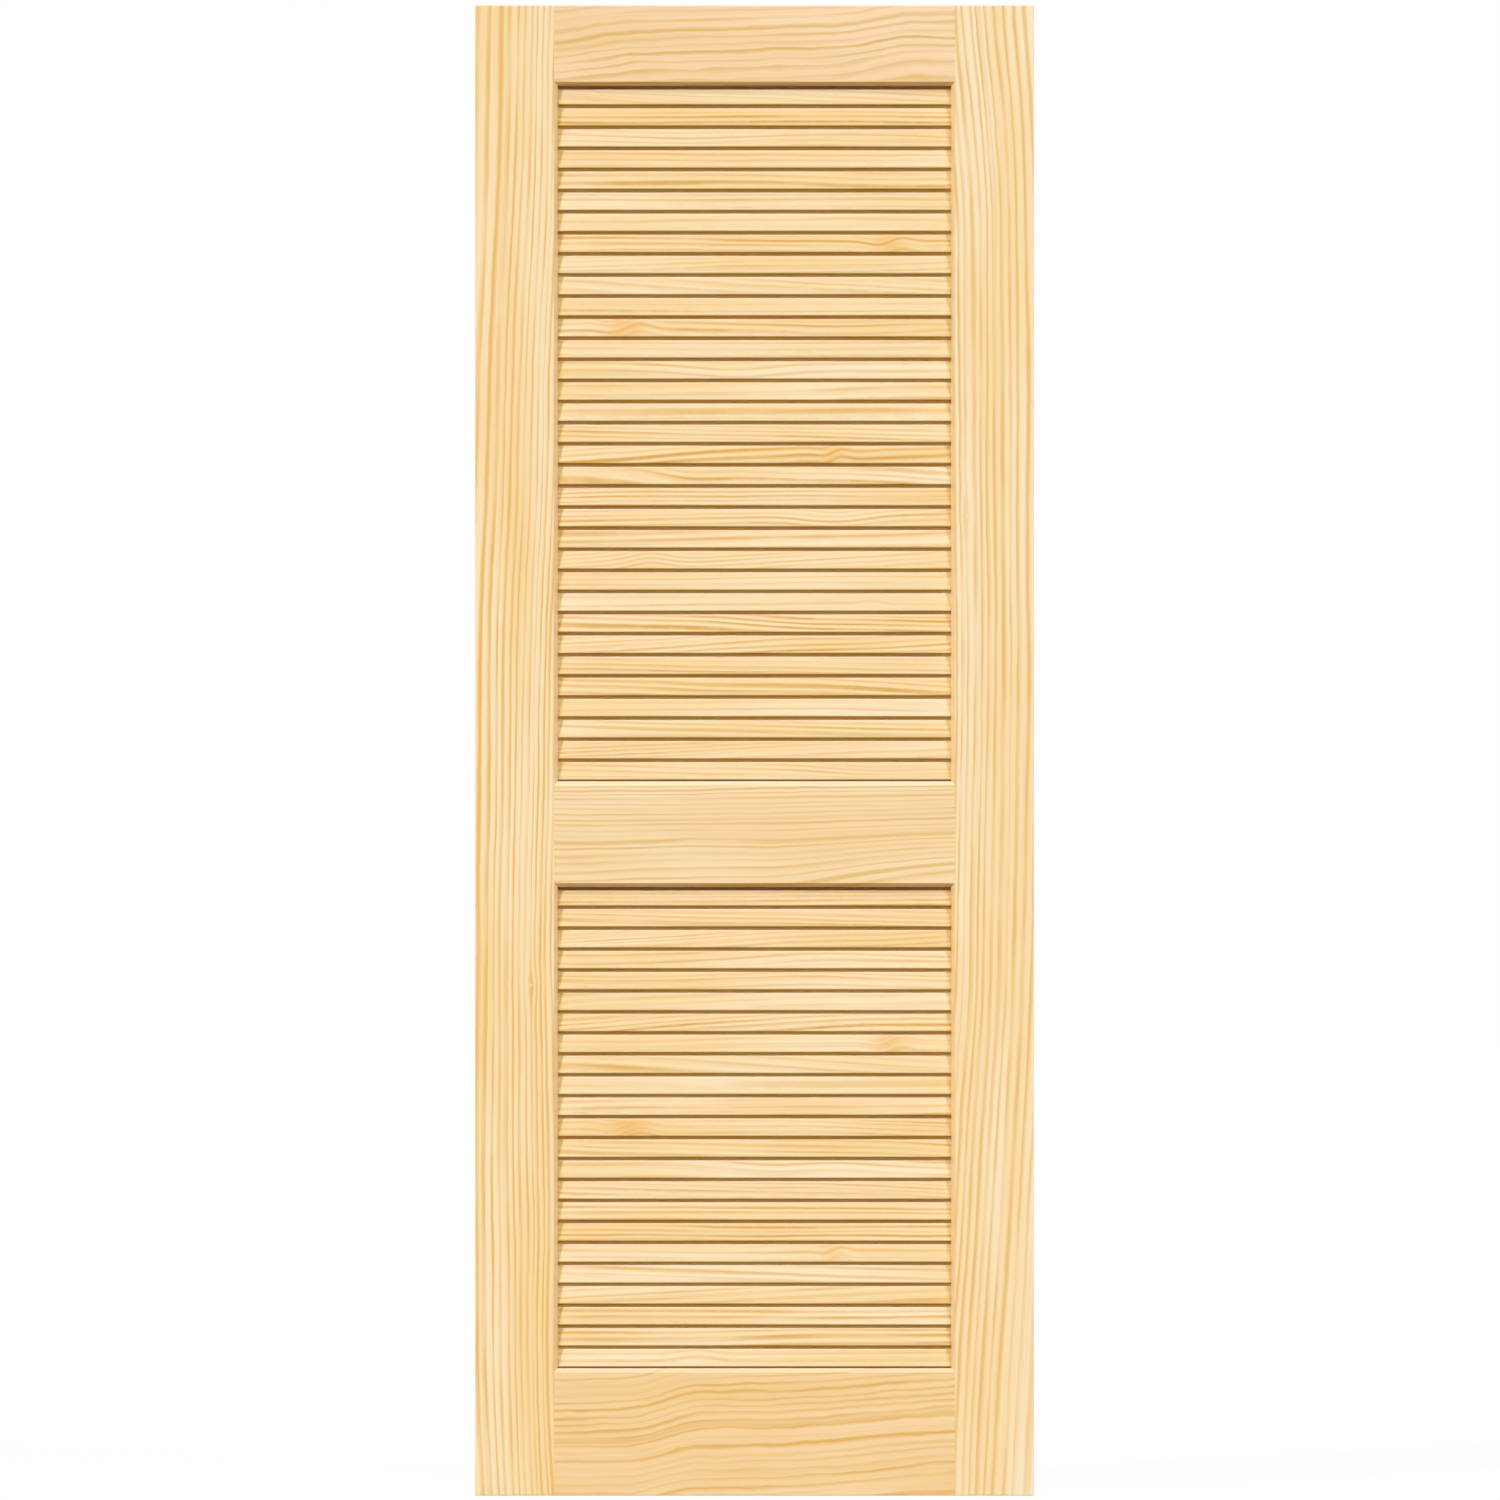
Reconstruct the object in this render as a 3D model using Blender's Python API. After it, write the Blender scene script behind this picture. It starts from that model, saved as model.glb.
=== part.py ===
# Louvred pine door: two stiles, three rails and two panels of fixed slats, ready to hang.
# The rails are tenoned into the stiles and coped over the bevel that runs round the openings.
# Each slat has rounded long edges, and its ends sit in slanted slots routed into the stiles.
# Metres, +Z up. The origin is at the middle of the bottom edge, and the front faces -Y.

import math

import bmesh
import bpy

# Door
DOOR_WIDTH = 0.762
DOOR_HEIGHT = 2.032
DOOR_THICKNESS = 0.035

# Frame
STILE_WIDTH = 0.1127
TOP_RAIL_HEIGHT = 0.1095
MID_RAIL_HEIGHT = 0.1443
BOTTOM_RAIL_HEIGHT = 0.1735
LOWER_OPENING_HEIGHT = 0.6562
STICKING_WIDTH = 0.0055  # bevel round each opening, on both faces: its width seen from the front
STICKING_DEPTH = 0.005  # and how far it runs back from the face

# Tenons of the rails
TENON_THICKNESS = 0.012
TENON_LENGTH = 0.060
TENON_SHOULDER = 0.015  # wood left above and below a tenon

# Slats
UPPER_SLAT_COUNT = 33
LOWER_SLAT_COUNT = 23
SLAT_WIDTH = 0.035
SLAT_THICKNESS = 0.00635
SLAT_EDGE_RADIUS = 0.002  # rounding of a slat's long edges
SLAT_ANGLE = math.radians(65)  # rise of a slat from its front edge to its back edge
SLAT_HOUSING = 0.0095  # depth of the slots in the stiles
SLAT_BED = 0.006  # how far the first slat of a panel runs up into the rail above it
EDGE_SEGMENTS = 3  # facets of one rounded corner of a slat

# Fits
CLEARANCE = 0.0003  # between any two pieces that touch
CUT_MARGIN = 0.002  # how far a cutter runs past the face that it cuts

# Places that follow from the sizes above
half_width = DOOR_WIDTH / 2
half_thickness = DOOR_THICKNESS / 2
half_opening = half_width - STILE_WIDTH
mid_rail_bottom = BOTTOM_RAIL_HEIGHT + LOWER_OPENING_HEIGHT
mid_rail_top = mid_rail_bottom + MID_RAIL_HEIGHT
top_rail_bottom = DOOR_HEIGHT - TOP_RAIL_HEIGHT
edge_flat = half_thickness - STICKING_DEPTH  # half of the square part of an inner edge

# A slat's section is a rectangle with rounded corners; these are the centres of its corners
slat_core_width = SLAT_WIDTH / 2 - SLAT_EDGE_RADIUS
slat_core_thickness = SLAT_THICKNESS / 2 - SLAT_EDGE_RADIUS
slat_half_rise = (
    slat_core_width * math.sin(SLAT_ANGLE)
    + slat_core_thickness * math.cos(SLAT_ANGLE)
    + SLAT_EDGE_RADIUS
)
slat_half_length = half_opening + SLAT_HOUSING - CLEARANCE


# The first slat runs up into the rail above the opening, and the last one stands on the rail below.
def slat_centres(opening_bottom, opening_top, count):
    first = opening_top + SLAT_BED - slat_half_rise
    last = opening_bottom + CLEARANCE + slat_half_rise
    return [first + (last - first) * i / (count - 1) for i in range(count)]


upper_centres = slat_centres(mid_rail_top, top_rail_bottom, UPPER_SLAT_COUNT)
lower_centres = slat_centres(BOTTOM_RAIL_HEIGHT, mid_rail_bottom, LOWER_SLAT_COUNT)


def make_material(name, colour, roughness):
    material = bpy.data.materials.new(name)
    material.use_nodes = True
    shader = material.node_tree.nodes["Principled BSDF"]
    shader.inputs["Base Color"].default_value = (*colour, 1)
    shader.inputs["Roughness"].default_value = roughness
    shader.inputs["Metallic"].default_value = 0
    return material


# Adds a closed prism to a mesh. Along "X" the outline is in (y, z), along "Z" it is in (x, y).
def add_prism(bm, outline, low, high, along):
    rings = []
    for level in (low, high):
        if along == "X":
            corners = [(level, y, z) for y, z in outline]
        else:
            corners = [(x, y, level) for x, y in outline]
        rings.append([bm.verts.new(corner) for corner in corners])
    faces = [bm.faces.new(rings[0]), bm.faces.new(rings[1])]
    for i in range(len(outline)):
        j = (i + 1) % len(outline)
        faces.append(bm.faces.new((rings[0][i], rings[0][j], rings[1][j], rings[1][i])))
    bmesh.ops.recalc_face_normals(bm, faces=faces)


def rectangle(low, high):
    return [(low[0], low[1]), (high[0], low[1]), (high[0], high[1]), (low[0], high[1])]


def make_object(name, prisms, parent, material=None):
    bm = bmesh.new()
    for prism in prisms:
        add_prism(bm, *prism)
    mesh = bpy.data.meshes.new(name)
    bm.to_mesh(mesh)
    bm.free()
    if material:
        mesh.materials.append(material)
    piece = bpy.data.objects.new(name, mesh)
    piece.parent = parent
    bpy.context.scene.collection.objects.link(piece)
    return piece


def shape_with(piece, operation, name, prisms, parent):
    tool = make_object(name, prisms, parent)
    tool.display_type = "WIRE"
    tool.hide_render = True
    boolean = piece.modifiers.new(name, "BOOLEAN")
    boolean.operation = operation
    boolean.solver = "EXACT"
    boolean.object = tool


# Section of a slat in (y, z), grown by a clearance for the slots that hold it.
def slat_section(centre, grown=0):
    section = []
    reach = SLAT_EDGE_RADIUS + grown
    for quarter, (along, across) in enumerate(((1, 1), (-1, 1), (-1, -1), (1, -1))):
        for i in range(EDGE_SEGMENTS + 1):
            turn = (quarter + i / EDGE_SEGMENTS) * math.pi / 2
            u = along * slat_core_width + reach * math.cos(turn)
            v = across * slat_core_thickness + reach * math.sin(turn)
            y = u * math.cos(SLAT_ANGLE) - v * math.sin(SLAT_ANGLE)
            z = u * math.sin(SLAT_ANGLE) + v * math.cos(SLAT_ANGLE)
            section.append((y, centre + z))
    return section


# Lowest and highest point of a rail's tenons: a slat that runs up into the rail takes room below.
def tenon_span(bottom, top, bed):
    return bottom + bed + TENON_SHOULDER, top - TENON_SHOULDER


RAILS = {
    "top_rail": (top_rail_bottom, DOOR_HEIGHT, SLAT_BED),
    "mid_rail": (mid_rail_bottom, mid_rail_top, SLAT_BED),
    "bottom_rail": (0, BOTTOM_RAIL_HEIGHT, 0),
}


def make_stile(name, side, parent, material):
    outer = side * half_width
    inner = side * half_opening
    bevel = side * (half_opening + STICKING_WIDTH)
    plan = [
        (outer, -half_thickness),
        (bevel, -half_thickness),
        (inner, -edge_flat),
        (inner, edge_flat),
        (bevel, half_thickness),
        (outer, half_thickness),
    ]
    stile = make_object(name, [(plan, 0, DOOR_HEIGHT, "Z")], parent, material)

    open_x = side * (half_opening - CUT_MARGIN)
    slot_x = side * (half_opening + SLAT_HOUSING)
    mortise_x = side * (half_opening + TENON_LENGTH)
    cuts = []
    for centre in upper_centres + lower_centres:
        cuts.append((slat_section(centre, CLEARANCE), open_x, slot_x, "X"))
    mortise_y = TENON_THICKNESS / 2 + CLEARANCE
    for rail in RAILS.values():
        low, high = tenon_span(*rail)
        mortise = rectangle((-mortise_y, low - CLEARANCE), (mortise_y, high + CLEARANCE))
        cuts.append((mortise, open_x, mortise_x, "X"))
    shape_with(stile, "DIFFERENCE", name + "_cuts", cuts, parent)


# Plan of a rail: its ends are coped over the stiles' bevels, a clearance away from them.
def rail_plan():
    slope = math.hypot(STICKING_WIDTH, STICKING_DEPTH)
    shoulder_x = half_opening - CLEARANCE
    shoulder_y = edge_flat + CLEARANCE * (slope - STICKING_DEPTH) / STICKING_WIDTH
    tip_y = half_thickness + CUT_MARGIN
    tip_x = shoulder_x + (tip_y - shoulder_y) * STICKING_WIDTH / STICKING_DEPTH
    right = [(tip_x, -tip_y), (shoulder_x, -shoulder_y), (shoulder_x, shoulder_y), (tip_x, tip_y)]
    left = [(-x, y) for x, y in reversed(right)]
    return right + left


# Section of a rail in (y, z), bevelled on both faces along the edges that meet an opening.
def rail_section(bottom, top):
    low_bevel = STICKING_WIDTH if bottom > 0 else 0
    high_bevel = STICKING_WIDTH if top < DOOR_HEIGHT else 0
    section = []
    for side in (-1, 1):
        edge = [(half_thickness, bottom + low_bevel), (half_thickness, top - high_bevel)]
        if low_bevel:
            edge.insert(0, (edge_flat, bottom))
        if high_bevel:
            edge.append((edge_flat, top))
        if side < 0:
            edge.reverse()
        section += [(side * y, z) for y, z in edge]
    return section


def make_rail(name, parent, material):
    bottom, top, bed = RAILS[name]
    reach = half_opening + STICKING_WIDTH + 2 * CUT_MARGIN
    rail = make_object(name, [(rail_section(bottom, top), -reach, reach, "X")], parent, material)
    blank = [(rail_plan(), bottom - CUT_MARGIN, top + CUT_MARGIN, "Z")]
    shape_with(rail, "INTERSECT", name + "_plan", blank, parent)

    tenon_low, tenon_high = tenon_span(bottom, top, bed)
    tenon = rectangle((-TENON_THICKNESS / 2, tenon_low), (TENON_THICKNESS / 2, tenon_high))
    tenon_x = half_opening + TENON_LENGTH - CLEARANCE
    shape_with(rail, "UNION", name + "_tenons", [(tenon, -tenon_x, tenon_x, "X")], parent)
    return rail


def make_slats(prefix, centres, first, parent, material):
    mesh = None
    for number, centre in enumerate(centres, 1):
        if number < first:
            continue
        name = f"{prefix}_{number:02d}"
        if mesh is None:
            section = slat_section(0)
            slat = make_object(name, [(section, -slat_half_length, slat_half_length, "X")], parent, material)
            mesh = slat.data
            mesh.shade_smooth()
            mesh.set_sharp_from_angle(angle=math.radians(50))
        else:
            slat = bpy.data.objects.new(name, mesh)
            slat.parent = parent
            bpy.context.scene.collection.objects.link(slat)
        slat.location.z = centre


def main():
    for old in list(bpy.data.objects):
        bpy.data.objects.remove(old, do_unlink=True)

    stile_pine = make_material("pine_stile", (0.86, 0.68, 0.40), 0.55)
    rail_pine = make_material("pine_rail", (0.86, 0.66, 0.37), 0.55)
    slat_pine = make_material("pine_slat", (0.88, 0.66, 0.36), 0.55)

    door = bpy.data.objects.new("louvred_door", None)
    bpy.context.scene.collection.objects.link(door)

    make_stile("left_stile", -1, door, stile_pine)
    make_stile("right_stile", 1, door, stile_pine)
    top_rail = make_rail("top_rail", door, rail_pine)
    mid_rail = make_rail("mid_rail", door, rail_pine)
    make_rail("bottom_rail", door, rail_pine)

    # The first slat of the upper panel is glued into the top rail and is one solid with it
    top_slat = (slat_section(upper_centres[0]), -slat_half_length, slat_half_length, "X")
    shape_with(top_rail, "UNION", "top_rail_slat", [top_slat], door)
    make_slats("upper_slat", upper_centres, 2, door, slat_pine)

    # The first slat of the lower panel runs up into a groove under the mid rail
    groove_x = half_opening + STICKING_WIDTH + CUT_MARGIN
    groove = (slat_section(lower_centres[0], CLEARANCE), -groove_x, groove_x, "X")
    shape_with(mid_rail, "DIFFERENCE", "mid_rail_groove", [groove], door)
    make_slats("lower_slat", lower_centres, 1, door, slat_pine)


main()
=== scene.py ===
import math
import random

import bmesh
import bpy
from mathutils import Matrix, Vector


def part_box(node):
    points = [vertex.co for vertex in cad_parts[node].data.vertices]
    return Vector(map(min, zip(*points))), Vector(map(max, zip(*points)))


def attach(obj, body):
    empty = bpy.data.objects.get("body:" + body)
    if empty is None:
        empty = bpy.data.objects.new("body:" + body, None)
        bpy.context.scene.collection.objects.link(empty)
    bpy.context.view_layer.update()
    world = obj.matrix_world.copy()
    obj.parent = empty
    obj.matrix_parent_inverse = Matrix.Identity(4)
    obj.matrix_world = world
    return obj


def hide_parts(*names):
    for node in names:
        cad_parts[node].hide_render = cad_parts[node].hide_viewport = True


# Looks of a bare pine louvred door: boards, slats and their grain, in a plain white studio
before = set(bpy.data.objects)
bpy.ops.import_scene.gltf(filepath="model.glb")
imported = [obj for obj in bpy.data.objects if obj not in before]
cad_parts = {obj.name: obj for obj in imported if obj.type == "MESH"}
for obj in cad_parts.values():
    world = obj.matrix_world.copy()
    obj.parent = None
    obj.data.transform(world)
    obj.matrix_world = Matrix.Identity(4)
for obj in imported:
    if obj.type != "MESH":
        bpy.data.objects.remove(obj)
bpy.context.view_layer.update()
scene = bpy.context.scene
scene.view_settings.view_transform = "Standard"
print("frame loaded with", len(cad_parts), "nodes")

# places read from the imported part
stileLow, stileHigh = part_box("right_stile")
halfWidth = stileHigh.x
halfThick = stileHigh.y
doorTop = stileHigh.z
halfOpening = stileLow.x


class Wire:
    # a node socket that takes part in sums

    def __init__(self, paper, socket):
        self.paper = paper
        self.socket = socket

    def maths(self, operation, first, second=0.0):
        return self.paper.add("ShaderNodeMath", {"operation": operation}, {0: first, 1: second})

    def __add__(self, other):
        return self.maths("ADD", self, other)

    def __radd__(self, other):
        return self.maths("ADD", other, self)

    def __sub__(self, other):
        return self.maths("SUBTRACT", self, other)

    def __rsub__(self, other):
        return self.maths("SUBTRACT", other, self)

    def __mul__(self, other):
        return self.maths("MULTIPLY", self, other)

    def __rmul__(self, other):
        return self.maths("MULTIPLY", other, self)

    def __truediv__(self, other):
        return self.maths("DIVIDE", self, other)

    def __rtruediv__(self, other):
        return self.maths("DIVIDE", other, self)

    def __pow__(self, other):
        return self.maths("POWER", self, other)

    def __neg__(self):
        return self.maths("MULTIPLY", self, -1.0)

    def __abs__(self):
        return self.maths("ABSOLUTE", self)


class Paper:
    # a node tree that is written on, one node at a time

    def __init__(self, tree):
        self.tree = tree

    def node(self, kind, settings=None, sockets=None):
        made = self.tree.nodes.new(kind)
        for key, value in (settings or {}).items():
            setattr(made, key, value)
        for key, value in (sockets or {}).items():
            if isinstance(value, Wire):
                self.tree.links.new(value.socket, made.inputs[key])
            else:
                made.inputs[key].default_value = value
        return made

    def add(self, kind, settings=None, sockets=None, out=0):
        return Wire(self, self.node(kind, settings, sockets).outputs[out])

    def vector(self, x, y, z):
        return self.add("ShaderNodeCombineXYZ", None, {0: x, 1: y, 2: z})

    def split(self, vector):
        made = self.node("ShaderNodeSeparateXYZ", None, {0: vector})
        return [Wire(self, socket) for socket in made.outputs]

    def noise(self, x, y, z, detail=2.0, roughness=0.5):
        sockets = {"Vector": self.vector(x, y, z), "Scale": 1.0, "Detail": detail, "Roughness": roughness}
        return self.add("ShaderNodeTexNoise", {"noise_dimensions": "3D"}, sockets)

    def ramp(self, value, low, high):
        sockets = {0: value, 1: low, 2: high, 3: 0.0, 4: 1.0}
        return self.add("ShaderNodeMapRange", {"interpolation_type": "SMOOTHSTEP"}, sockets)

    def mix(self, first, second, factor, blend="MIX"):
        settings = {"data_type": "RGBA", "blend_type": blend}
        return self.add("ShaderNodeMix", settings, {0: factor, 6: first, 7: second}, 2)

    def exp(self, value):
        return self.add("ShaderNodeMath", {"operation": "EXPONENT"}, {0: value})

    def scaled(self, colour, factor):
        return self.add("ShaderNodeVectorMath", {"operation": "SCALE"}, {0: colour, "Scale": factor})


# colours are written as the eye sees them, 0 to 255
def tone(red, green, blue):
    def linear(value):
        value /= 255
        return value / 12.92 if value <= 0.04045 else ((value + 0.055) / 1.055) ** 2.4

    return (linear(red), linear(green), linear(blue), 1.0)


# what all the pine shares: fibre, pores, gloss
pine = {
    "fibreAlong": 14.0,  # fibres to the metre along the grain
    "fibreAcross": 1300.0,
    "fibreRough": 0.6,
    "fibreShade": 0.06,
    "fibreGloss": 0.12,
    "fineAlong": 1.6,
    "fineAcross": 3.4,  # fine lines to a growth ring
    "fineShade": 1.1,
    "unevenAlong": 0.8,
    "unevenAcross": 0.55,
    "unevenRings": 0.9,  # how much the gap between rings comes and goes
    "patchAlong": 7.0,  # where a ring's line fades and comes back
    "patchAcross": 0.8,
    "patchGain": 2.4,
    "patchLoss": 0.2,
    "shiverAlong": 38.0,  # the small unsteadiness of every line
    "shiverAcross": 90.0,
    "tintAlong": 2.2,
    "tintAcross": 16.0,
    "tintFrom": (0.32, 0.68),
    "endGrain": tone(214, 176, 118),
    "endShare": 0.35,
    "poreAlong": 60.0,
    "poreAcross": 1400.0,
    "poreRough": 0.7,
    "poreShare": 0.5,
    "bevelHighlight": tone(250, 227, 208),  # painted highlight on the upper slopes of the mould
    "bevelHighlightShare": 0.45,
    "shaded": tone(238, 216, 176),  # painted shade on its under slopes
    "mould": tone(255, 213, 156),  # painted shade: a warmer, more saturated tone on the mould along the stiles
    "mouldShare": 0.8,
    "ledgeShade": tone(140, 86, 20),  # painted shade on a rail's ledges, where the nearest slat keeps the light off them
    "ledgeShadeFront": (0.002, 0.008),  # only in front of the door's middle
    "gloss": 0.56,
    "lateGloss": 0.08,
    "specular": 0.12,
    "bump": 0.35,
    "relief": 0.00025,
}
# each noise is read at a distance of its own from the board's seed, each ring's luck at a multiple of it
draws = {"sway": 0.0, "fine": 3.0, "ripple": 5.0, "shiver": 7.0, "tint": 9.0, "uneven": 17.0, "patch": 21.0}
ringDraws = {"chance": 53.0, "width": 31.0}
# how much of a face's direction makes it a slope of the mould, a flat face, a ledge or an end
leans = {"slope": (0.35, 0.6), "flat": (0.85, 0.95), "ledge": (0.9, 0.97), "end": (0.6, 0.9)}


# Growth rings of one board, in metres along, across and through it. The rings stand round a pith line
# outside the board; their gap goes from the first to the last value over the board's breadth.
def pineColour(paper, along, across, depth, look, seed, knots, contrast, swing=1.0):
    def cloud(sheet, name, sideways, detail=1.0):
        place = seed + draws[name]
        return paper.noise(along * sheet[name + "Along"], sideways * sheet[name + "Across"], place, detail)

    sway = cloud(look, "sway", across)
    ripple = cloud(look, "ripple", across, detail=2.0)
    shiver = cloud(pine, "shiver", across)
    heart = 0.0
    for knotAlong, knotAcross, knotSize in knots:
        lengthwise = (along - knotAlong) / (knotSize * look["knotStretch"])
        sideways = across - knotAcross
        spread = sideways / knotSize
        nearness = paper.exp(-(lengthwise * lengthwise + spread * spread))
        across = knotAcross + sideways * (1.0 - look["knotPull"] * nearness)
        eyeLength = (along - knotAlong) / (knotSize * look["eyeLength"])
        eyeSpread = sideways / (knotSize * look["eyeBreadth"])
        eye = 1.0 - paper.ramp(eyeLength * eyeLength + eyeSpread * eyeSpread, *look["eyeEdge"])
        heart = heart + eye

    line = across + look["tilt"] * along
    line = line + (sway - 0.5) * (look["swaySize"] * swing) + (ripple - 0.5) * look["rippleSize"]
    line = line + (shiver - 0.5) * look["shiverSize"]
    for start, stop, rise, top, bottom in look["bends"]:
        line = line - paper.ramp(along, start, stop) * paper.ramp(across, top, bottom) * rise

    firstGap, lastGap = look["ringGap"]
    ringsToMetre = 1 / firstGap
    crowding = (1 / lastGap - ringsToMetre) / (2 * look["breadth"])
    offset = line - look["pith"][0]
    through = depth - look["pith"][1]
    radius = (offset * offset + through * through) ** 0.5 - look["pithReach"]
    ring = radius * (ringsToMetre + crowding * radius)
    ring = ring + (cloud(pine, "uneven", ring) - 0.5) * pine["unevenRings"]
    ringNumber = paper.add("ShaderNodeMath", {"operation": "FLOOR"}, {0: ring})
    phase = ring - ringNumber

    def luckOf(name):
        place = ringNumber + seed * ringDraws[name]
        return paper.add("ShaderNodeTexWhiteNoise", {"noise_dimensions": "1D"}, {"W": place})

    # the dark late wood of each ring
    late = paper.ramp(phase, *look["lateRise"]) ** (1.0 + look["lateSharp"] * luckOf("width"))
    late = late * (1.0 - paper.ramp(phase, *look["lateFall"]))
    late = late * (look["lateLeast"] + (1 - look["lateLeast"]) * luckOf("chance"))
    late = late * (pine["patchGain"] * cloud(pine, "patch", ring) - pine["patchLoss"])

    fibreDepth = depth * pine["fibreAcross"] + seed
    fibre = paper.noise(
        along * pine["fibreAlong"], across * pine["fibreAcross"], fibreDepth, roughness=pine["fibreRough"]
    )
    fine = cloud(pine, "fine", ring, detail=2.0)
    tint = cloud(pine, "tint", across)

    colour = paper.mix(look["pale"], look["warm"], paper.ramp(tint, *pine["tintFrom"]))
    shade = late * contrast + (fine - 0.5) * pine["fineShade"]
    for place, width, strength in look["boldRings"]:
        gap = (line - place) / width
        shade = shade + strength * paper.exp(-(gap * gap))
    colour = paper.mix(colour, look["late"], shade)
    colour = paper.scaled(colour, 1.0 + (fibre - 0.5) * (2 * pine["fibreShade"]))
    if knots:
        colour = paper.mix(colour, look["knotHeart"], paper.ramp(heart, 0.0, 1.0) * look["knotShade"])
    gloss = pine["gloss"] + fibre * pine["fibreGloss"] - late * pine["lateGloss"]
    return colour, gloss, fibre


def newMaterial(name):
    material = bpy.data.materials.new(name)
    material.use_nodes = True
    material.node_tree.nodes.clear()
    return material, Paper(material.node_tree)


def finishPine(paper, colour, gloss, height):
    relief = {"Strength": pine["bump"], "Distance": pine["relief"], "Height": height}
    bump = paper.add("ShaderNodeBump", None, relief)
    shader = paper.add(
        "ShaderNodeBsdfPrincipled",
        None,
        {"Base Color": colour, "Roughness": gloss, "Normal": bump, "Specular IOR Level": pine["specular"]},
    )
    paper.node("ShaderNodeOutputMaterial", None, {"Surface": shader})


# a board's grain runs along z in the stiles and along x in the rails
def boardMaterial(name, look, upright):
    material, paper = newMaterial(name)
    place = paper.split(paper.add("ShaderNodeTexCoord", None, None, "Object"))
    if upright:
        along, across = place[2], place[0]
    else:
        along, across = place[0], place[2]
    depth = place[1]
    knots, contrast = look["knots"], look["contrast"]
    colour, gloss, height = pineColour(paper, along, across, depth, look, look["seed"], knots, contrast)
    sideways, through, facing = paper.split(paper.add("ShaderNodeTexCoord", None, None, "Normal"))
    if upright:
        # painted shade: the stile's mould slopes take a warmer tone, the colour of their shade
        mould = paper.ramp(abs(sideways), *leans["slope"]) * paper.ramp(abs(through), *leans["slope"])
        colour = paper.mix(colour, pine["mould"], mould * pine["mouldShare"])
        poresWide, poresDeep = across * pine["poreAcross"], depth * pine["poreAcross"]
        pores = paper.noise(along * pine["poreAlong"], poresWide, poresDeep, roughness=pine["poreRough"])
        ends = paper.ramp(abs(facing), *leans["end"])
        colour = paper.mix(colour, pine["endGrain"], ends * (pine["endShare"] + pine["poreShare"] * pores))
    else:
        slope = 1.0 - paper.ramp(abs(facing), *leans["flat"])
        upper, under = (paper.ramp(way, *leans["slope"]) * slope for way in (facing, -facing))
        # painted highlight on the upward slopes of a rail's mould
        colour = paper.mix(colour, pine["bevelHighlight"], upper * pine["bevelHighlightShare"])
        # painted shade on the downward slopes of a rail's mould
        colour = paper.mix(colour, pine["shaded"], under, "MULTIPLY")
        # painted shade on the inner ledges and under edges next to the slats, only at the front
        ledgeShade = paper.ramp(facing, *leans["ledge"]) * look["shelfShade"]
        eave = paper.ramp(-facing, *leans["ledge"]) * look["eaveShade"]
        near = paper.ramp(-depth, *pine["ledgeShadeFront"])
        colour = paper.mix(colour, pine["ledgeShade"], (ledgeShade + eave) * near)
    finishPine(paper, colour, gloss, height)
    return material


def bake(piece):
    graph = bpy.context.evaluated_depsgraph_get()
    mesh = bpy.data.meshes.new_from_object(piece.evaluated_get(graph), depsgraph=graph)
    mesh.name = piece.name
    piece.modifiers.clear()
    piece.data = mesh


# the mould round the openings, and how soft each kind of edge is
boards = {
    "mouldWidth": 0.0055,
    "mouldDepth": 0.005,
    "jointGap": 0.0001,
    "arris": 0.0011,
    "arrisSteps": 3,
    "mouldArris": 0.0007,
    "jointArris": 0.00015,
}
# how far a side stands out at the faces of the door, against the middle of its thickness
sideReach = {"outer": 0.0, "opening": -boards["mouldWidth"], "joint": boards["mouldWidth"]}
sideArris = {"outer": boards["arris"], "opening": boards["mouldArris"], "joint": boards["jointArris"]}


# A board is four rectangles from front to back, joined up. Sides are named left, right, low and high.
def makeBoard(name, left, right, low, high, sides, material):
    middle = halfThick - boards["mouldDepth"]
    reach = [sideReach[side] for side in sides]
    face = (left - reach[0], right + reach[1], low - reach[2], high + reach[3])
    core = (left, right, low, high)
    bm = bmesh.new()
    softness = bm.edges.layers.float.new("bevel_weight_edge")
    rings = []
    for y, (x0, x1, z0, z1) in ((-halfThick, face), (-middle, core), (middle, core), (halfThick, face)):
        rings.append([bm.verts.new(p) for p in ((x0, y, z0), (x1, y, z0), (x1, y, z1), (x0, y, z1))])
    bm.faces.new(rings[0])
    bm.faces.new(reversed(rings[3]))
    for near, far in zip(rings, rings[1:]):
        for i in range(4):
            j = (i + 1) % 4
            bm.faces.new((near[j], near[i], far[i], far[j]))
    bmesh.ops.recalc_face_normals(bm, faces=bm.faces)

    order = (2, 1, 3, 0)  # the side that each edge of a ring lies on: low, right, high, left
    for place, ring in enumerate(rings):
        for i in range(4):
            kind = sides[order[i]]
            edge = bm.edges.get((ring[i], ring[(i + 1) % 4]))
            if kind != "outer" or place in (0, 3):
                edge[softness] = sideArris[kind] / boards["arris"]
    for near, far in zip(rings, rings[1:]):
        for i in range(4):
            kinds = sides[order[i]], sides[order[i - 1]]
            edge = bm.edges.get((near[i], far[i]))
            edge[softness] = min(sideArris[kind] for kind in kinds) / boards["arris"]

    mesh = bpy.data.meshes.new(name)
    bm.to_mesh(mesh)
    bm.free()
    mesh.materials.append(material)
    mesh.shade_smooth()
    piece = bpy.data.objects.new(name, mesh)
    scene.collection.objects.link(piece)
    soften = piece.modifiers.new("arris", "BEVEL")
    soften.limit_method = "WEIGHT"
    soften.width = boards["arris"]
    soften.segments = boards["arrisSteps"]
    weigh = piece.modifiers.new("flat faces", "WEIGHTED_NORMAL")
    weigh.mode = "FACE_AREA"
    bake(piece)
    return piece


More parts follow.
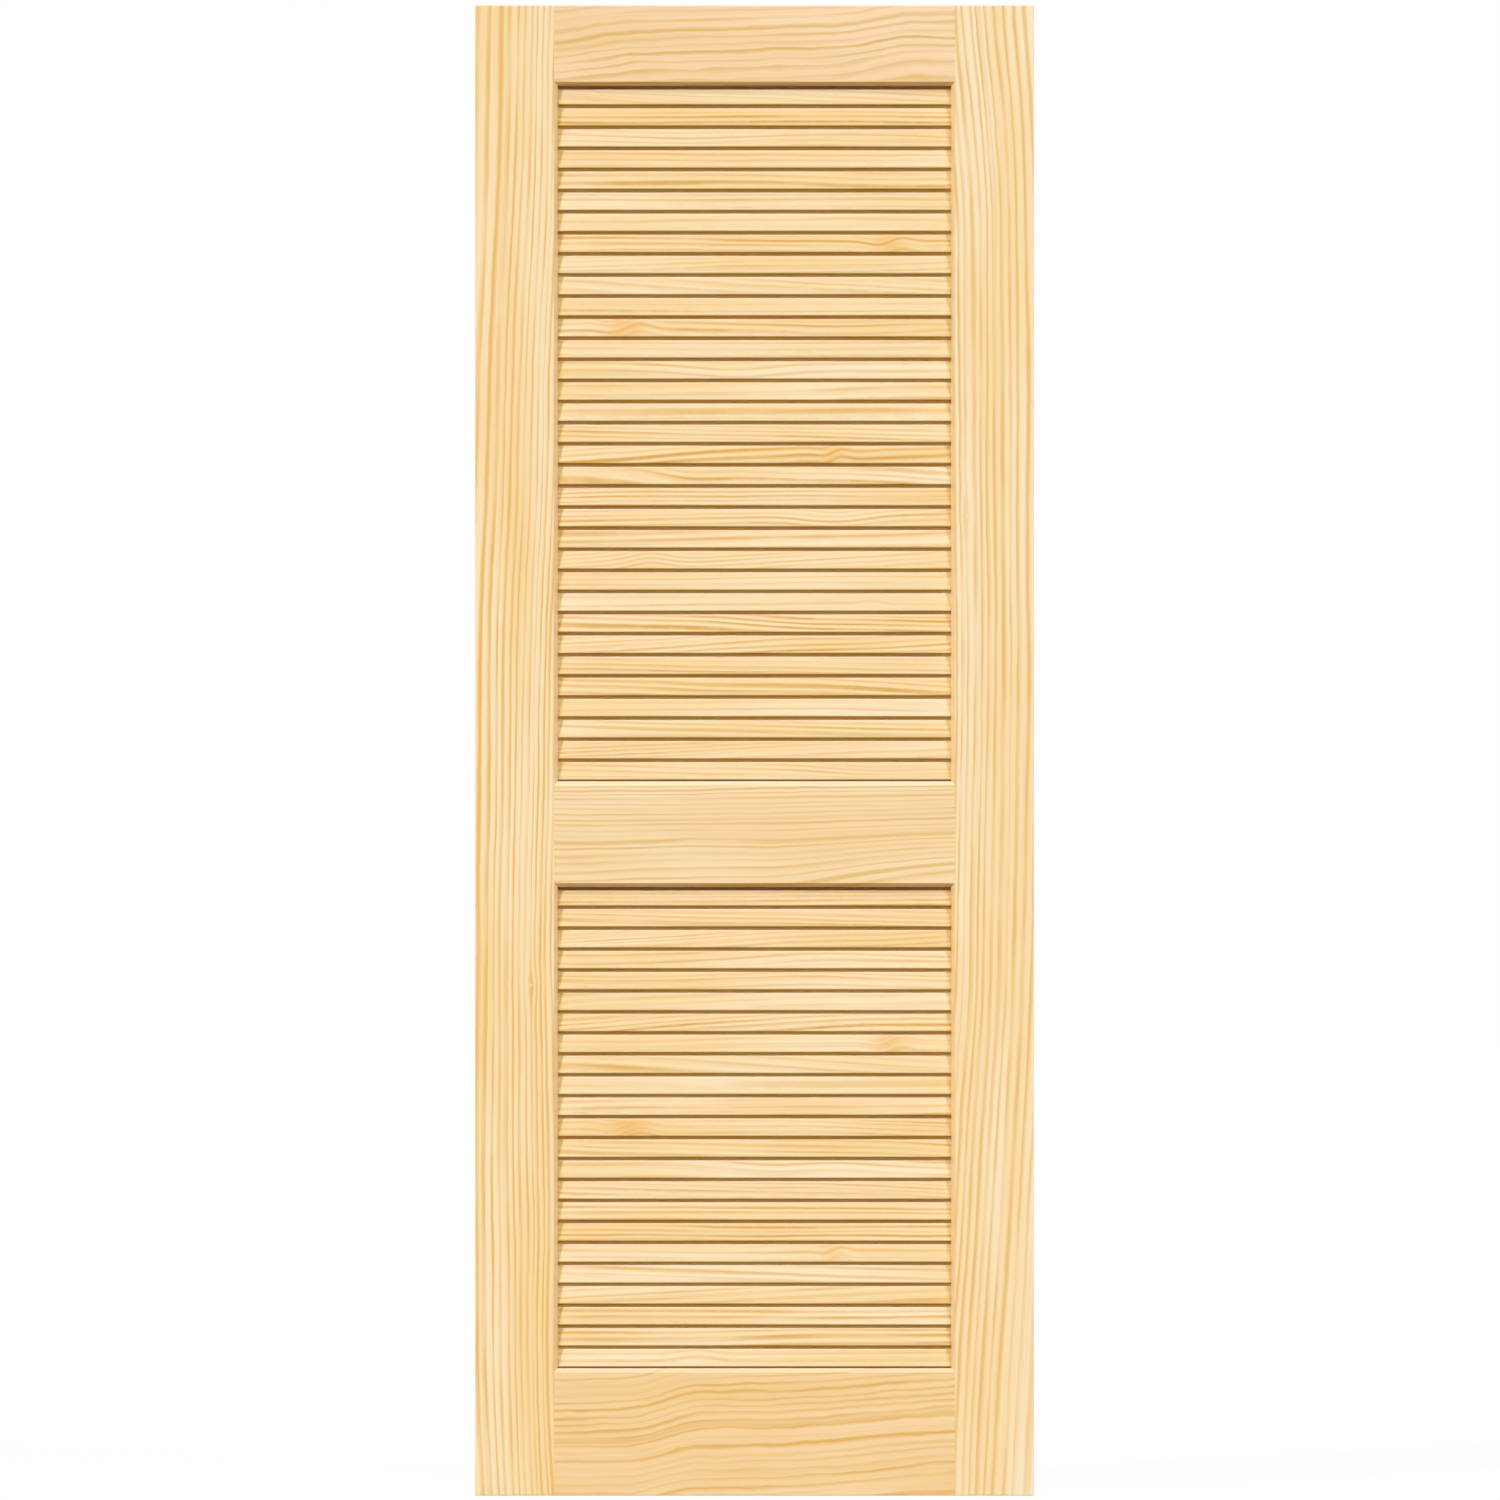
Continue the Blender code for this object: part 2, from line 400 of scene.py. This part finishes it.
leftStile = {
    "node": "left_stile",
    "seed": 1.7,
    "breadth": 0.113,
    "ringGap": (0.0125, 0.0062),  # nearest the pith and farthest from it
    "pith": (-0.46, 0.02),  # across and through
    "pithReach": 0.081,  # from the pith to the board's near edge
    "tilt": 0.0,
    "swayAlong": 2.4,  # slow wander of the lines
    "swayAcross": 6.0,
    "swaySize": 0.016,
    "rippleAlong": 9.0,  # and the quick one
    "rippleAcross": 30.0,
    "rippleSize": 0.0030,
    "shiverSize": 0.0014,
    # where the lines leave the straight: from and to along the board, how far, and from and to across it
    "bends": ((0.85, 2.25, 0.036, -1.0, -0.9), (0.30, -0.10, 0.012, -1.0, -0.9)),
    "lateRise": (0.05, 0.74),  # the part of a ring where its dark line comes
    "lateFall": (0.75, 1.0),  # and goes
    "lateSharp": 3.0,  # the sharpest rings are thin lines, the dullest broad bands
    "lateLeast": 0.45,  # the faintest line
    "contrast": 1.13,
    "boldRings": ((-0.3765, 0.0040, 0.35), (-0.345, 0.0018, 0.25)),  # place across, width, strength
    "pale": tone(255, 231, 191),
    "warm": tone(252, 219, 164),
    "late": tone(239, 193, 114),
    "knotStretch": 3.5,
    "knotPull": 0.8,  # how far the grain closes in on a knot
    "knotHeart": tone(255, 234, 204),  # a pale fleck
    "knotShade": 0.6,
    "eyeLength": 0.42,
    "eyeBreadth": 0.24,
    "eyeEdge": (0.25, 1.3),
    "knots": ((0.696, -0.305, 0.007),),  # place along, place across, size
}
rightStile = dict(
    leftStile,
    node="right_stile",
    seed=4.3,
    pith=(0.46, 0.03),
    ringGap=(0.0110, 0.0085),
    bends=(
        (1.70, 2.12, -0.018, 0.42, 0.27),
        (1.45, 2.20, -0.012, -1.0, -0.9),
        (1.05, -0.35, -0.055, -1.0, -0.9),
    ),
    pale=tone(255, 234, 199),
    warm=tone(254, 224, 176),
    late=tone(240, 198, 127),
    boldRings=((0.3735, 0.0036, 0.35), (0.331, 0.0018, 0.25)),
    knots=((1.337, 0.290, 0.007),),
)
topRail = {
    "node": "top_rail",
    "height": 0.1095,
    "seed": 2.9,
    "breadth": 0.11,
    "ringGap": (0.0075, 0.0135),
    "pith": (1.86, 0.03),
    "pithReach": 0.06,
    "tilt": -0.02,
    "swayAlong": 3.2,
    "swayAcross": 9.0,
    "swaySize": 0.012,
    "rippleAlong": 16.0,
    "rippleAcross": 40.0,
    "rippleSize": 0.0075,
    "shiverSize": 0.0016,
    "bends": ((-0.29, -0.15, 0.014, 1.90, 1.97), (0.10, 0.22, 0.014, 1.90, 1.97)),
    "lateRise": (0.05, 0.74),
    "lateFall": (0.75, 1.0),
    "lateSharp": 2.2,
    "lateLeast": 0.30,
    "contrast": 0.75,
    "shelfShade": 0.0,  # how dark the painted shade is on the upper ledge, and on the under ledge
    "eaveShade": 1.0,
    "boldRings": ((1.987, 0.0028, 0.6), (1.976, 0.0022, 0.45)),
    "pale": tone(253, 222, 183),
    "warm": tone(248, 214, 166),
    "late": tone(232, 187, 112),
    "knots": (),
}
midRail = dict(
    topRail,
    node="mid_rail",
    shelfShade=1.0,
    seed=6.1,
    breadth=0.145,
    ringGap=(0.0140, 0.0056),
    pith=(0.77, 0.02),
    tilt=-0.012,
    bends=((0.0, 0.32, 0.046, 0.925, 0.825),),
    boldRings=((0.896, 0.0020, 0.4),),
    contrast=1.2,
    rippleSize=0.0032,
    shiverSize=0.0011,
    pale=tone(255, 227, 185),
    warm=tone(250, 219, 172),
    late=tone(238, 198, 132),
)
bottomRail = dict(
    topRail,
    node="bottom_rail",
    eaveShade=0.0,
    shelfShade=0.8,
    seed=8.4,
    breadth=0.175,
    ringGap=(0.0095, 0.0105),
    pith=(-0.06, 0.02),
    tilt=-0.02,
    bends=((-0.18, -0.07, 0.020, 1.0, 0.9), (0.02, 0.30, 0.014, 1.0, 0.9)),
    boldRings=((0.075, 0.0028, 0.6), (0.050, 0.0022, 0.4)),
    contrast=0.8,
    rippleSize=0.0085,
    pale=tone(252, 218, 171),
    warm=tone(247, 210, 154),
    late=tone(232, 185, 103),
)


def makeStiles():
    for look, side in ((leftStile, -1), (rightStile, 1)):
        inner, outer = side * halfOpening, side * halfWidth
        flanks = ("outer", "opening") if side < 0 else ("opening", "outer")
        sides = flanks + ("outer", "outer")
        material = boardMaterial(look["node"] + " pine", look, True)
        name = "stileLeft" if side < 0 else "stileRight"
        stile = makeBoard(name, min(inner, outer), max(inner, outer), 0.0, doorTop, sides, material)
        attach(stile, "root")
        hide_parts(look["node"])


def makeRails():
    edge = halfOpening - boards["jointGap"]
    midLow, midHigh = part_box("mid_rail")
    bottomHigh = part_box("bottom_rail")[1]
    spans = (
        ("railTop", topRail, doorTop - topRail["height"], doorTop, "opening", "outer"),
        ("railMid", midRail, midLow.z, midHigh.z, "opening", "opening"),
        ("railBottom", bottomRail, 0.0, bottomHigh.z, "outer", "opening"),
    )
    for name, look, low, high, lowSide, highSide in spans:
        material = boardMaterial(look["node"] + " pine", look, False)
        rail = makeBoard(name, -edge, edge, low, high, ("joint", "joint", lowSide, highSide), material)
        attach(rail, "root")
        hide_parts(look["node"])


slats = {
    "width": 0.035,
    "thickness": 0.00635,
    "edgeRadius": 0.0017,
    "angle": math.radians(65),
    "housed": 0.0008,  # how far a slat runs into the stiles
    "cornerSteps": 4,
    "lengthSteps": 13,
    "sharpFrom": math.radians(40),
    "seed": 11,
    "luck": {"drift": 0.0, "swing": 0.3, "lean": 0.5, "contrast": 0.9},  # where each slat's draws are read
    "breadth": 0.035,
    "ringGap": (0.0120, 0.0070),
    "pith": (-0.075, 0.03),
    "pithReach": 0.06,
    "tilt": 0.0,
    "swayAlong": 2.6,
    "swayAcross": 8.0,
    "swaySize": 0.016,
    "rippleAlong": 9.0,
    "rippleAcross": 50.0,
    "rippleSize": 0.0022,
    "shiverSize": 0.0008,
    "bends": (),
    "lateRise": (0.05, 0.62),
    "lateFall": (0.68, 1.0),
    "lateSharp": 1.5,
    "lateLeast": 0.35,
    "contrast": (0.38, 1.08),  # the plainest slat and the liveliest
    "swing": (0.3, 2.0),  # how much their lines wander
    "lean": 0.3,  # and lean
    "drift": 0.05,  # where in the log each was cut
    "boldRings": (),
    "pale": tone(245, 226, 195),
    "warm": tone(239, 214, 167),
    "late": tone(218, 171, 90),
    "noseShadeTone": tone(214, 187, 43),  # painted shade on the front edge, where it turns under
    "noseShade": 0.84,
    "noseReach": 0.0012,  # how far up the face the painted shade of the front edge reaches
    "slatHighlight": tone(255, 246, 226),  # painted highlight, paler towards the next slat
    "slatHighlightShare": 0.6,
    "slatHighlightFrom": (0.003, 0.011),
    "hiddenShade": tone(236, 206, 96),  # painted shade, browner behind it
    "hiddenShadeShare": 0.7,
    "hiddenShadeFrom": (0.0096, 0.0116),
    "endShadeTone": tone(250, 249, 226),  # painted shade beside the stiles, where they shadow the slat ends
    "endShadeFrom": (0.259, 0.266),
    "curlHeart": tone(230, 180, 98),
    "curlShade": 40.0,
    "aged": tone(252, 240, 216),  # some have yellowed more than others
    "agedShare": 0.5,
}
# slats with curly grain, counted from the top: place along it, arch, wave, reach
slatCurls = {
    "upper": {
        8: (0.185, 0.0, 0.012, 0.024),
        12: (-0.173, 0.003, 0.014, 0.028),
        14: (-0.020, -0.007, 0.0, 0.070),
        18: (0.108, 0.002, 0.009, 0.018),
        19: (-0.089, -0.007, 0.0, 0.050),
        21: (0.112, -0.009, 0.0, 0.060),
        23: (-0.149, 0.008, 0.003, 0.036),
        25: (0.160, 0.004, 0.0, 0.018),
    },
    "lower": {
        8: (0.185, 0.0, 0.012, 0.024),
        12: (-0.173, 0.003, 0.014, 0.028),
        14: (0.020, -0.007, 0.0, 0.070),
        18: (0.108, 0.002, 0.009, 0.018),
        23: (-0.080, 0.006, 0.0, 0.030),
    },
}
straight = (0.0, 0.0, 0.0, 0.1)  # all the others


def slatMaterial():
    material, paper = newMaterial("slat pine")

    def stored(name, out):
        settings = {"attribute_type": "GEOMETRY", "attribute_name": name}
        return paper.add("ShaderNodeAttribute", settings, None, out)

    def luckOf(name):
        place = seed + slats["luck"][name]
        return paper.add("ShaderNodeTexWhiteNoise", {"noise_dimensions": "1D"}, {"W": place})

    def between(limits, share):
        return limits[0] + (limits[1] - limits[0]) * share

    along, across, depth = paper.split(stored("grain", "Vector"))
    seed = stored("board", "Fac")
    place, arch, wave = paper.split(stored("curl", "Vector"))
    front = paper.add("ShaderNodeMath", {"operation": "SIGN"}, {0: depth})
    upward = across * front  # up the front face, and down the back one
    nose = paper.ramp(abs(across), slats["width"] / 2 - slats["noseReach"], slats["width"] / 2)
    slatHighlight = paper.ramp(upward, *slats["slatHighlightFrom"]) * slats["slatHighlightShare"]
    hiddenShade = paper.ramp(upward, *slats["hiddenShadeFrom"]) * slats["hiddenShadeShare"]
    ends = paper.ramp(abs(along), *slats["endShadeFrom"])
    drift, turn = luckOf("drift") - 0.5, luckOf("lean") - 0.5
    strength = between(slats["contrast"], luckOf("contrast"))
    swing = between(slats["swing"], luckOf("swing"))
    away = (along - place) / stored("curlReach", "Fac")
    near = paper.exp(-(away * away))
    across = across + drift * slats["drift"] + turn * abs(turn) * slats["lean"] * along
    across = across - (arch + wave * away) * near
    colour, gloss, height = pineColour(paper, along, across, depth, slats, seed, (), strength, swing)
    colour = paper.mix(colour, slats["curlHeart"], near * abs(wave) * slats["curlShade"])
    colour = paper.mix(colour, slats["aged"], (drift + 0.5) * slats["agedShare"], "MULTIPLY")
    # painted highlight on the upper part of the slat's face
    colour = paper.mix(colour, slats["slatHighlight"], slatHighlight)
    # painted shade where the slat above hides this one
    colour = paper.mix(colour, slats["hiddenShade"], hiddenShade, "MULTIPLY")
    # painted shade on the slat's front edge
    colour = paper.mix(colour, slats["noseShadeTone"], nose * slats["noseShade"], "MULTIPLY")
    # painted shade at the slat's ends, where the stiles cast their shadow
    colour = paper.mix(colour, slats["endShadeTone"], ends, "MULTIPLY")
    finishPine(paper, colour, gloss, height)
    return material


# one row of slats: each point of the mesh gets a slat
def slatTree():
    tree = bpy.data.node_groups.new("slatRow", "GeometryNodeTree")
    face = tree.interface
    keys = {}
    face.new_socket(name="Points", in_out="INPUT", socket_type="NodeSocketGeometry")
    for name in ("Width", "Thickness", "Edge radius", "Length", "Angle"):
        keys[name] = face.new_socket(name=name, in_out="INPUT", socket_type="NodeSocketFloat").identifier
    keys["Pine"] = face.new_socket(name="Pine", in_out="INPUT", socket_type="NodeSocketMaterial").identifier
    face.new_socket(name="Slats", in_out="OUTPUT", socket_type="NodeSocketGeometry")

    paper = Paper(tree)
    entry = paper.node("NodeGroupInput")
    given = {socket.name: Wire(paper, socket) for socket in entry.outputs}
    section = paper.add(
        "GeometryNodeCurvePrimitiveQuadrilateral",
        {"mode": "RECTANGLE"},
        {"Width": given["Width"], "Height": given["Thickness"]},
    )
    corners = {"Count": slats["cornerSteps"], "Radius": given["Edge radius"], "Limit Radius": True}
    section = paper.add("GeometryNodeFilletCurve", {"mode": "POLY"}, {"Curve": section, **corners})
    end = paper.vector(given["Length"] / 2, 0.0, 0.0)
    start = paper.vector(given["Length"] / -2, 0.0, 0.0)
    run = paper.add("GeometryNodeCurvePrimitiveLine", {"mode": "POINTS"}, {"Start": start, "End": end})
    run = paper.add(
        "GeometryNodeResampleCurve", {"mode": "COUNT"}, {"Curve": run, "Count": slats["lengthSteps"]}
    )
    slat = paper.add(
        "GeometryNodeCurveToMesh", None, {"Curve": run, "Profile Curve": section, "Fill Caps": True}
    )
    place = paper.add("GeometryNodeInputPosition")
    slat = paper.add(
        "GeometryNodeStoreNamedAttribute",
        {"data_type": "FLOAT_VECTOR", "domain": "POINT"},
        {"Geometry": slat, "Name": "grain", "Value": place},
    )
    turned = paper.vector(given["Angle"], 0.0, 0.0)
    laid = {"Points": given["Points"], "Instance": slat, "Rotation": turned}
    row = paper.add("GeometryNodeInstanceOnPoints", None, laid)
    row = paper.add("GeometryNodeRealizeInstances", None, {"Geometry": row})
    row = paper.add("GeometryNodeSetMaterial", None, {"Geometry": row, "Material": given["Pine"]})
    paper.node("NodeGroupOutput", None, {0: row})
    return tree, keys


def makeSlats():
    tree, keys = slatTree()
    material = slatMaterial()
    luck = random.Random(slats["seed"])
    for panel in ("upper", "lower"):
        nodes = sorted(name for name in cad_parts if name.startswith(panel + "_slat_"))
        heights = [sum(corner.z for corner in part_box(node)) / 2 for node in nodes]
        if panel == "upper":
            heights.insert(0, 2 * heights[0] - heights[1])  # the first slat is in the top rail's solid
        mesh = bpy.data.meshes.new(panel + "SlatPoints")
        mesh.from_pydata([(0, 0, z) for z in heights], [], [])
        for name, kind in (("board", "FLOAT"), ("curl", "FLOAT_VECTOR"), ("curlReach", "FLOAT")):
            mesh.attributes.new(name, kind, "POINT")
        for i in range(len(heights)):
            place, arch, wave, reach = slatCurls[panel].get(i + 1, straight)
            mesh.attributes["board"].data[i].value = luck.uniform(0, 40)
            mesh.attributes["curl"].data[i].vector = (place, arch, wave)
            mesh.attributes["curlReach"].data[i].value = reach
        row = bpy.data.objects.new(panel + "Slats", mesh)
        scene.collection.objects.link(row)
        maker = row.modifiers.new("slatRow", "NODES")
        maker.node_group = tree
        maker[keys["Width"]] = slats["width"]
        maker[keys["Thickness"]] = slats["thickness"]
        maker[keys["Edge radius"]] = slats["edgeRadius"]
        maker[keys["Length"]] = 2 * (halfOpening + slats["housed"])
        maker[keys["Angle"]] = slats["angle"]
        maker[keys["Pine"]] = material
        bake(row)
        row.data.shade_smooth()
        row.data.set_sharp_from_angle(angle=slats["sharpFrom"])
        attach(row, "root")
        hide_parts(*nodes)
        print(panel, "panel:", len(heights), "slats,", len(row.data.polygons), "faces")


# bearing from the front, right positive, height above the floor and breadth of each lamp, in degrees
lamps = {
    "keyLeft": {"bearing": -32, "height": 20, "power": 1.76, "size": 4, "colour": (1.0, 1.0, 1.0)},
    "keyRight": {"bearing": 30, "height": 20, "power": 1.31, "size": 4, "colour": (1.0, 1.0, 1.0)},
    "frontHigh": {"bearing": 0, "height": 45, "power": 0.65, "size": 15, "colour": (1.0, 0.92, 0.68)},
    "top": {"bearing": 0, "height": 90, "power": 1.0, "size": 3, "colour": (1.0, 1.0, 1.0)},
    "sideLeft": {"bearing": -100, "height": 8, "power": 1.3, "size": 8, "colour": (1.0, 1.0, 1.0)},
    "sideRight": {"bearing": 100, "height": 8, "power": 1.3, "size": 8, "colour": (1.0, 1.0, 1.0)},
    "backLeft": {"bearing": -155, "height": 12, "power": 0.95, "size": 8, "colour": (1.0, 1.0, 1.0)},
    "backRight": {"bearing": 155, "height": 12, "power": 0.68, "size": 8, "colour": (1.0, 1.0, 1.0)},
}
studio = {
    "worldNear": 0.02,  # light from the front half of the room
    "worldFar": 0.35,  # and from low down behind the door
    "farSide": (0.0, 0.5),
    "farHeight": (0.2, 0.6),
    "floorSize": 90.0,
    "floorGlow": 0.85,  # the floor where it is looked at
    "floorPaint": 0.16,
    "floorBounce": 0.05,  # and what it throws back at the door
}


def makeLamps():
    for name, lamp in lamps.items():
        data = bpy.data.lights.new(name, "SUN")
        data.energy = lamp["power"]
        data.angle = math.radians(lamp["size"])
        data.color = lamp["colour"]
        bearing, height = math.radians(lamp["bearing"]), math.radians(lamp["height"])
        flat = math.cos(height)
        toLamp = Vector((math.sin(bearing) * flat, -math.cos(bearing) * flat, math.sin(height)))
        holder = bpy.data.objects.new(name, data)
        holder.rotation_euler = toLamp.to_track_quat("Z", "Y").to_euler()
        scene.collection.objects.link(holder)


# the room is white where it is looked at, straight, in a gloss or through glass, and dim elsewhere
def lookedAt(paper):
    rays = paper.node("ShaderNodeLightPath")
    seen = Wire(paper, rays.outputs["Is Camera Ray"])
    for kind in ("Is Glossy Ray", "Is Transmission Ray"):
        seen = seen.maths("MAXIMUM", seen, Wire(paper, rays.outputs[kind]))
    return seen


def makeWorld():
    world = bpy.data.worlds.new("studio")
    world.use_nodes = True
    world.node_tree.nodes.clear()
    scene.world = world
    paper = Paper(world.node_tree)
    seen = lookedAt(paper)
    toward = paper.split(paper.add("ShaderNodeTexCoord", None, None, "Generated"))
    far = paper.ramp(toward[1], *studio["farSide"]) * (1.0 - paper.ramp(toward[2], *studio["farHeight"]))
    glow = studio["worldNear"] + far * (studio["worldFar"] - studio["worldNear"])
    strength = seen + (1.0 - seen) * glow
    light = paper.add("ShaderNodeBackground", None, {"Color": (1, 1, 1, 1), "Strength": strength})
    paper.node("ShaderNodeOutputWorld", None, {"Surface": light})


def makeFloor():
    half = studio["floorSize"] / 2
    mesh = bpy.data.meshes.new("floor")
    corners = [(-half, -half, 0), (half, -half, 0), (half, half, 0), (-half, half, 0)]
    mesh.from_pydata(corners, [], [(0, 1, 2, 3)])
    floor = bpy.data.objects.new("floor", mesh)
    scene.collection.objects.link(floor)
    material, paper = newMaterial("pale floor")
    seen = lookedAt(paper)
    bounce, paint = studio["floorBounce"], studio["floorPaint"]
    dull = paper.add("ShaderNodeBsdfDiffuse", None, {"Color": (bounce, bounce, bounce, 1)})
    white = paper.add("ShaderNodeBsdfDiffuse", None, {"Color": (paint, paint, paint, 1)})
    glow = paper.add("ShaderNodeEmission", None, {"Color": (1, 1, 1, 1), "Strength": studio["floorGlow"]})
    lit = paper.add("ShaderNodeAddShader", None, {0: white, 1: glow})
    both = paper.add("ShaderNodeMixShader", None, {0: seen, 1: dull, 2: lit})
    paper.node("ShaderNodeOutputMaterial", None, {"Surface": both})
    mesh.materials.append(material)


# straight on, from far away; the door fills the picture's height
view = {
    "distance": 30.0,
    "farthest": 200.0,
    "picture": 1500,  # pixels each way
    "doorPixels": 1490,
    "doorMiddle": (754.5, 750.5),
}


def makeCamera():
    metresPerPixel = doorTop / view["doorPixels"]
    data = bpy.data.cameras.new("camera")
    data.lens = data.sensor_width * view["distance"] / (view["picture"] * metresPerPixel)
    data.clip_end = view["farthest"]
    camera = bpy.data.objects.new("camera", data)
    right = (view["picture"] / 2 - view["doorMiddle"][0]) * metresPerPixel
    up = (view["doorMiddle"][1] - view["picture"] / 2) * metresPerPixel
    camera.location = (right, -halfThick - view["distance"], doorTop / 2 + up)
    camera.rotation_euler = (math.radians(90), 0, 0)
    scene.collection.objects.link(camera)
    scene.camera = camera


makeStiles()
print("stiles done")
makeRails()
print("rails done")
makeSlats()
makeLamps()
makeWorld()
makeFloor()
makeCamera()
print("studio done")
